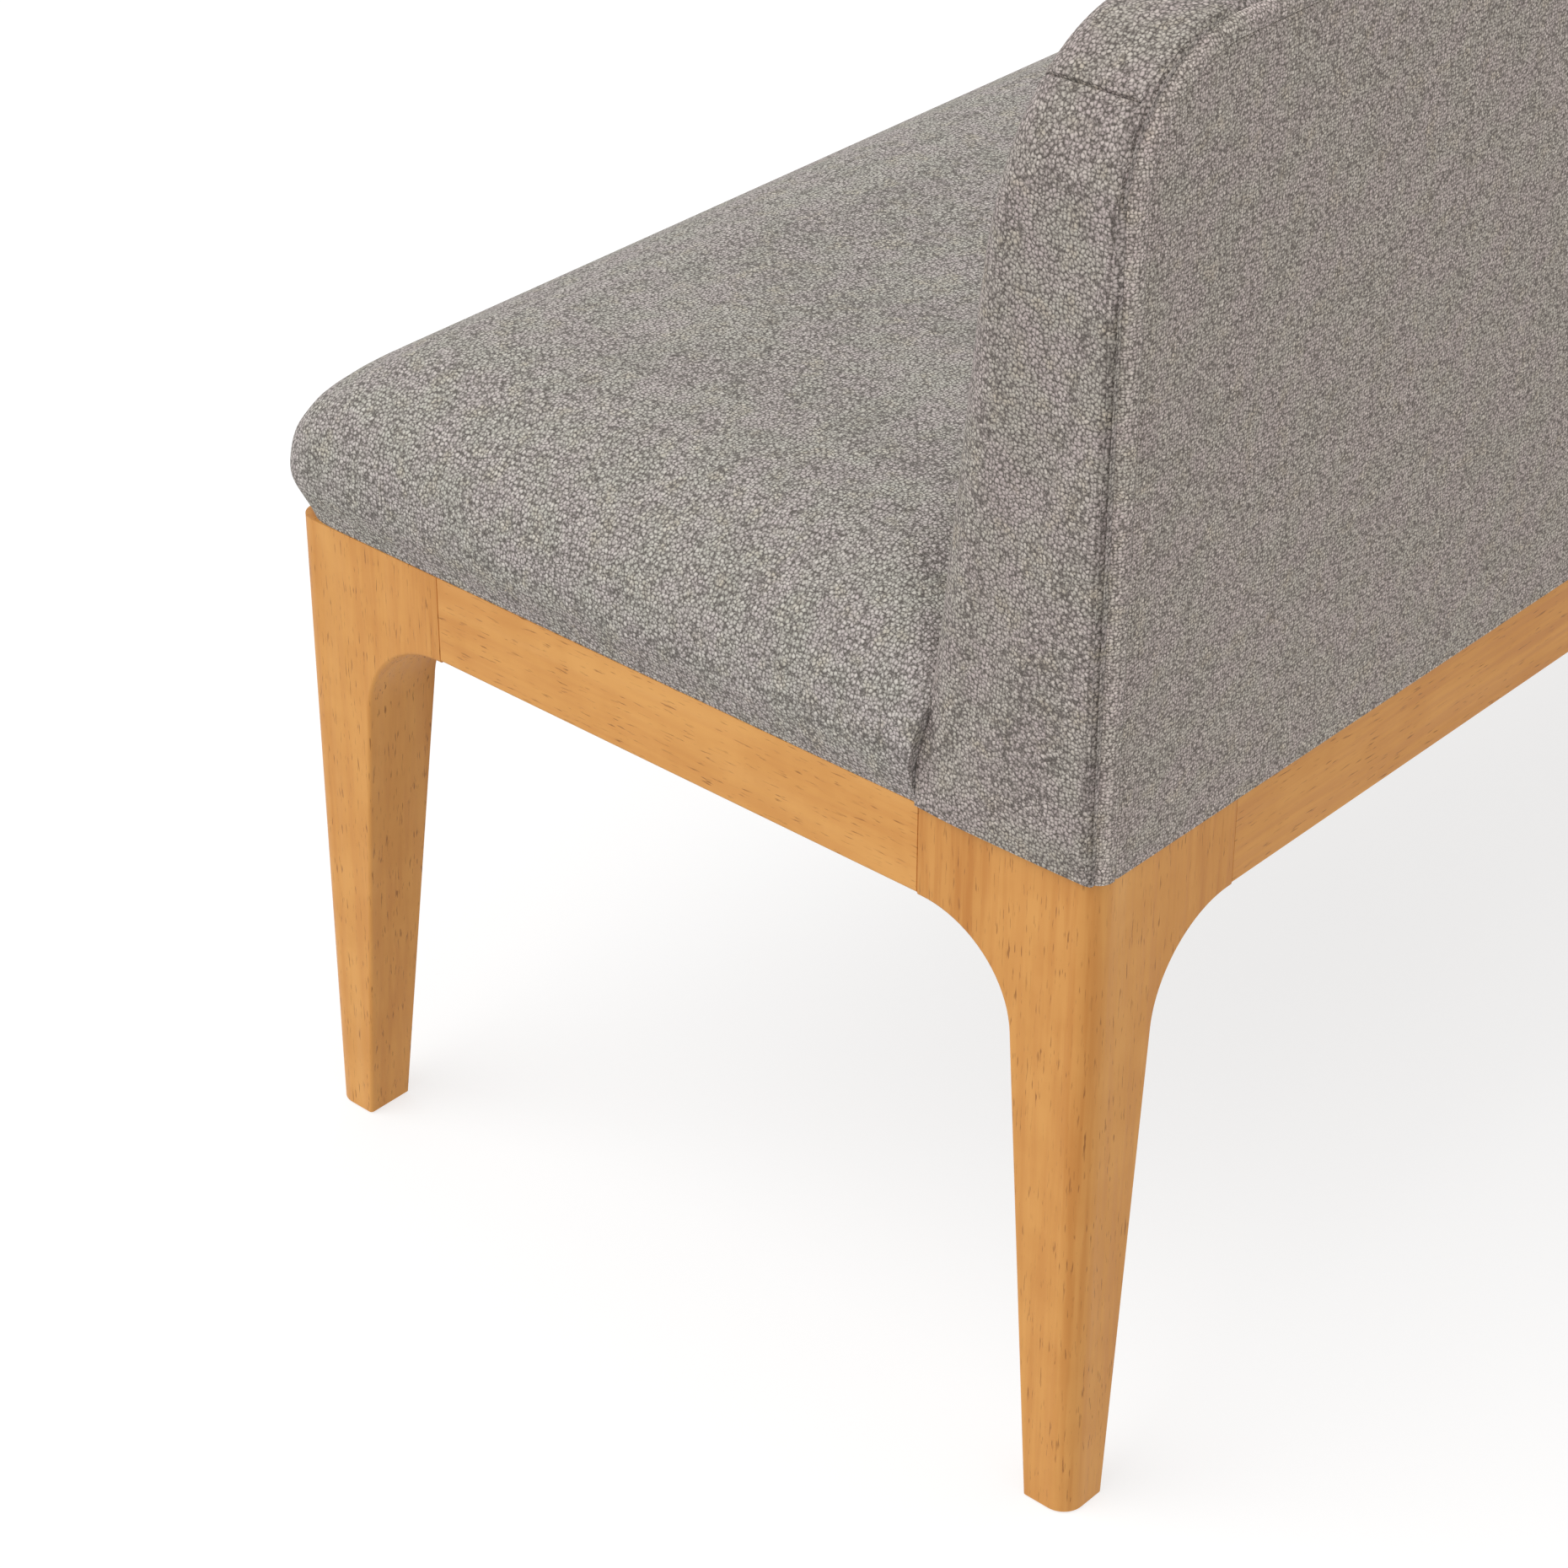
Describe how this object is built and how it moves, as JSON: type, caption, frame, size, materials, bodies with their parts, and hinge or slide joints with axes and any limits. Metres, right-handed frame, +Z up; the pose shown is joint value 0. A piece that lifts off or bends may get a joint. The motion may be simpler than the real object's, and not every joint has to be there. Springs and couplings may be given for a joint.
{
  "type": "upholstered banquette",
  "caption": "Upholstered dining banquette: padded seat and upright padded back in nubby cloth on a wooden base with tapered legs that spread into rounded knees.",
  "frame": {"origin": "on the floor under the middle of the whole object", "axes": "+X along the length, -Y towards the front of the seat, +Z up"},
  "size_m": [1.4166, 0.5483, 0.7803],
  "materials": {
    "base_wood": "satin",
    "inner_frame_wood": "matte",
    "dowel_wood": "matte",
    "hardboard": "matte",
    "cover_cloth": "matte",
    "foam": "matte",
    "wadding": "matte",
    "webbing": "matte",
    "dust_cloth": "matte",
    "glide_plastic": "matte",
    "zinc_steel": "satin",
    "insert_brass": "satin"
  },
  "bodies": {
    "root": {"back_board": "hardboard", "back_bottom_rail": "inner_frame_wood", "back_cover": "cover_cloth", "back_edge_foam": "foam", "back_foam": "foam", "back_frame_dowels": "dowel_wood", "back_post_end_left": "inner_frame_wood", "back_post_end_right": "inner_frame_wood", "back_post_middle_left": "inner_frame_wood", "back_post_middle_right": "inner_frame_wood", "back_stile_left": "inner_frame_wood", "back_stile_right": "inner_frame_wood", "back_top_rail": "inner_frame_wood", "bracket_screws": "zinc_steel", "cross_rail_left": "base_wood", "cross_rail_right": "base_wood", "dust_cover": "dust_cloth", "dust_cover_staples": "zinc_steel", "foot_glides": "glide_plastic", "frame_dowels": "dowel_wood", "leg_front_left": "base_wood", "leg_front_right": "base_wood", "leg_rear_left": "base_wood", "leg_rear_right": "base_wood", "outside_back_panel": "cover_cloth", "post_bolts": "zinc_steel", "post_screws": "zinc_steel", "post_washers": "zinc_steel", "rail_front": "base_wood", "rail_inserts": "insert_brass", "rail_left": "base_wood", "rail_rear": "base_wood", "rail_right": "base_wood", "seat_brackets": "zinc_steel", "seat_cover": "cover_cloth", "seat_foam": "foam", "seat_frame_dowels": "dowel_wood", "seat_frame_end_left": "inner_frame_wood", "seat_frame_end_right": "inner_frame_wood", "seat_frame_front": "inner_frame_wood", "seat_frame_middle_left": "inner_frame_wood", "seat_frame_middle_right": "inner_frame_wood", "seat_frame_rear": "inner_frame_wood", "seat_wadding": "wadding", "seat_webbing": "webbing"}
  },
  "joints": []
}
